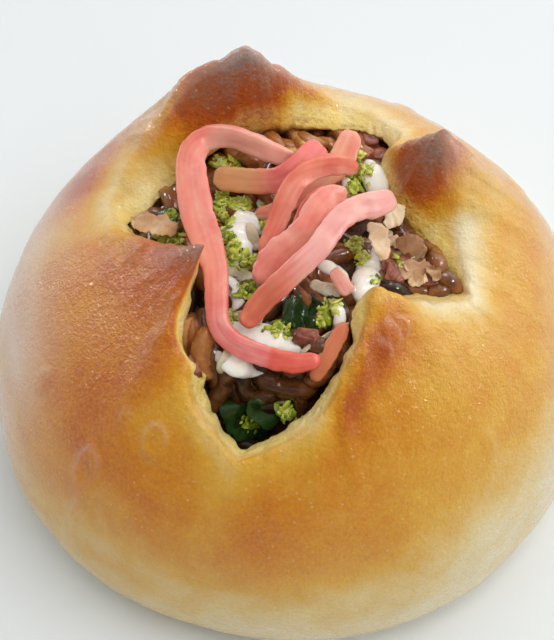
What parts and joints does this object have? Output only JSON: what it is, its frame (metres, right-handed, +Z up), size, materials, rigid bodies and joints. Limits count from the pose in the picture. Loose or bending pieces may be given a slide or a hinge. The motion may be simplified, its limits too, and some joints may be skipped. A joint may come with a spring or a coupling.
{
  "type": "filled bun",
  "caption": "Round baked bun cut open crosswise on top, filled with fried noodles under pickled ginger strips, dressing, seaweed powder and fish flakes.",
  "frame": {"origin": "centre of the bounding box at the underside, on the surface the bun rests on", "axes": "+Z up; -Y towards the deep front notch of the cut; +X to the right seen from the front"},
  "size_m": [0.1012, 0.0985, 0.0695],
  "materials": {
    "crust": "baked crust with a light egg glaze, golden to dark brown",
    "filling": "moist fried noodles with sauce, leaf and dressing",
    "ginger": "moist translucent pink pickled ginger",
    "fish_flake": "thin dry shaved fish"
  },
  "bodies": {
    "root": {"bread_bun": "crust", "noodle_filling": "filling", "ginger_long_loop": "ginger", "ginger_tan_end": "ginger", "ginger_behind": "ginger", "ginger_arch": "ginger", "ginger_arch_inner": "ginger", "ginger_broad": "ginger", "ginger_front_run": "ginger", "ginger_small_pale": "ginger", "ginger_lip_strip": "ginger", "fish_flake_curled": "fish_flake", "fish_flake_pale": "fish_flake", "fish_flake_brown": "fish_flake", "fish_flake_notch": "fish_flake", "fish_flake_left": "fish_flake"}
  },
  "joints": []
}
